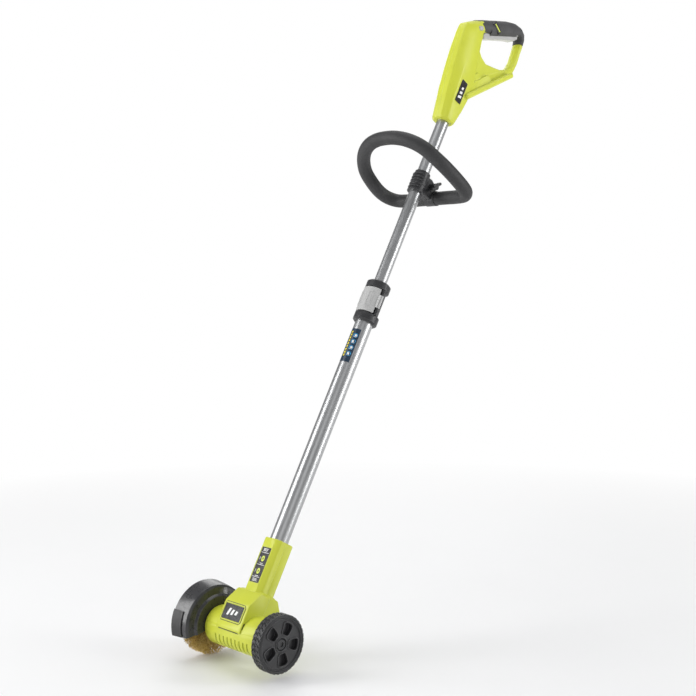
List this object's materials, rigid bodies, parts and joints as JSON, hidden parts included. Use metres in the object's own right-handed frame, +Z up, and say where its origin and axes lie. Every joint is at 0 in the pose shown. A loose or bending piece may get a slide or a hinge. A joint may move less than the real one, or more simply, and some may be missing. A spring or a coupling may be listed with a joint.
{
  "type": "cordless patio and crevice cleaner",
  "caption": "Battery-powered walk-behind crevice cleaner with a spinning wire brush, a guide wheel, a telescoping pole, a hoop front handle and a D-shaped rear handle.",
  "frame": {"origin": "the middle of the rear grip, where the user holds the tool, in the working posture; the brush tips meet the ground 1063.4 mm below it", "axes": "+Z up, +X along the axle toward the guide wheel, +Y back toward the user; the pole leans back 29 degrees from +Z toward +Y"},
  "size_m": [0.214, 0.7418, 1.0766],
  "materials": {
    "lime_plastic": "satin",
    "black_plastic": "satin",
    "grip_rubber": "matte",
    "foam_black": "matte",
    "tyre_rubber": "matte",
    "guard_black": "gloss",
    "light_grey_plastic": "satin",
    "aluminium_tube": "brushed",
    "steel": "brushed",
    "zinc_screw": "zinc plated",
    "brass_wire": "crimped wire",
    "copper_iron": "wound",
    "label_black": "satin",
    "white_plastic": "satin",
    "brass_contact": "plain"
  },
  "bodies": {
    "head_and_lower_pole": {"head_housing_front": "lime_plastic", "head_housing_rear": "lime_plastic", "head_badge": "label_black", "neck_label": "label_black", "head_screw_1": "zinc_screw", "head_screw_2": "zinc_screw", "head_screw_3": "zinc_screw", "head_screw_4": "zinc_screw", "motor_can": "steel", "motor_end_cap": "black_plastic", "motor_mount": "grip_rubber", "ring_gear": "steel", "spindle_bearing": "steel", "brush_guard": "guard_black", "guard_screw_1": "zinc_screw", "guard_screw_2": "zinc_screw", "guard_flap": "tyre_rubber", "axle_bolt": "zinc_screw", "lower_tube": "aluminium_tube", "shaft_label": "label_black", "collar_body": "black_plastic", "lever_pin": "zinc_screw"},
    "armature": {"armature_shaft": "steel", "rotor_core": "copper_iron", "cooling_fan": "black_plastic", "sun_gear": "steel"},
    "brush_spindle": {"spindle_carrier": "steel", "brush_core": "steel", "bristle_ring": "brass_wire", "brush_flange_outer": "steel", "brush_nut": "zinc_screw"},
    "planet_1": {"planet_gear_1": "steel"},
    "planet_2": {"planet_gear_2": "steel"},
    "planet_3": {"planet_gear_3": "steel"},
    "guide_wheel": {"wheel_hub": "black_plastic", "wheel_tyre": "tyre_rubber"},
    "lock_lever": {"lock_lever": "light_grey_plastic"},
    "rear_handle_and_upper_pole": {"upper_tube": "aluminium_tube", "tube_glide": "white_plastic", "handle_housing_left": "lime_plastic", "handle_housing_right": "lime_plastic", "housing_screw_1": "zinc_screw", "housing_screw_2": "zinc_screw", "housing_screw_3": "zinc_screw", "handle_badge": "label_black", "soft_grip": "grip_rubber", "trigger_pin": "zinc_screw", "switch_body": "black_plastic", "terminal_block": "black_plastic", "battery_contact_1": "brass_contact", "battery_contact_2": "brass_contact"},
    "trigger": {"trigger": "light_grey_plastic"},
    "lock_off_button": {"lock_off_button": "light_grey_plastic"},
    "front_clamp": {"handle_clamp_left": "black_plastic", "handle_clamp_right": "black_plastic", "clamp_bolt": "zinc_screw"},
    "wing_knob": {"wing_knob": "black_plastic"},
    "hoop": {"hoop_tube": "steel", "hoop_grip": "foam_black"}
  },
  "joints": [
    {"name": "pole_telescope", "type": "slide", "parent": "rear_handle_and_upper_pole", "child": "head_and_lower_pole", "axis": [0, -0.4848, -0.8746], "range_m": [-0.13, 0.1]},
    {"name": "lock_lever_flip", "type": "hinge", "parent": "head_and_lower_pole", "child": "lock_lever", "pos_m": [0.0209, -0.35375, -0.5105], "axis": [0, 0.4848, 0.8746], "range_deg": [0, 100]},
    {"name": "front_handle_slide", "type": "slide", "parent": "rear_handle_and_upper_pole", "child": "front_clamp", "axis": [0, 0.4848, 0.8746], "range_m": [-0.012, 0.06]},
    {"name": "hoop_tilt", "type": "hinge", "parent": "front_clamp", "child": "hoop", "pos_m": [0, -0.20176, -0.32892], "axis": [1, 0, 0], "range_deg": [-25, 25]},
    {"name": "wing_knob_turn", "type": "hinge", "parent": "front_clamp", "child": "wing_knob", "pos_m": [0.014, -0.21169, -0.3097], "axis": [1, 0, 0], "range_deg": [-45, 40]},
    {"name": "trigger_pull", "type": "hinge", "parent": "rear_handle_and_upper_pole", "child": "trigger", "pos_m": [0, 0.02483, -0.0109], "axis": [1, 0, 0], "range_deg": [-4.5, 0], "stiffness_Nm_per_rad": 1.2, "springref_deg": 2.29},
    {"name": "lock_off_push", "type": "slide", "parent": "rear_handle_and_upper_pole", "child": "lock_off_button", "axis": [1, 0, 0], "range_m": [-0.003, 0.003], "stiffness_N_per_m": 300},
    {"name": "wheel_spin", "type": "hinge", "parent": "head_and_lower_pole", "child": "guide_wheel", "pos_m": [0, -0.6278, -1.01088], "axis": [1, 0, 0], "continuous": true},
    {"name": "brush_spin", "type": "hinge", "parent": "head_and_lower_pole", "child": "brush_spindle", "pos_m": [0, -0.6278, -1.01088], "axis": [1, 0, 0], "continuous": true},
    {"name": "armature_spin", "type": "hinge", "parent": "head_and_lower_pole", "child": "armature", "pos_m": [0, -0.6278, -1.01088], "axis": [1, 0, 0], "continuous": true},
    {"name": "planet_1_spin", "type": "hinge", "parent": "brush_spindle", "child": "planet_1", "pos_m": [-0.033, -0.62053, -0.99776], "axis": [1, 0, 0], "continuous": true},
    {"name": "planet_2_spin", "type": "hinge", "parent": "brush_spindle", "child": "planet_2", "pos_m": [-0.033, -0.6428, -1.01114], "axis": [1, 0, 0], "continuous": true},
    {"name": "planet_3_spin", "type": "hinge", "parent": "brush_spindle", "child": "planet_3", "pos_m": [-0.033, -0.62007, -1.02374], "axis": [1, 0, 0], "continuous": true}
  ],
  "couplings": [
    {"joint": "armature_spin", "follows": "brush_spin", "ratio": 4},
    {"joint": "planet_1_spin", "follows": "brush_spin", "ratio": -3},
    {"joint": "planet_2_spin", "follows": "brush_spin", "ratio": -3},
    {"joint": "planet_3_spin", "follows": "brush_spin", "ratio": -3}
  ]
}
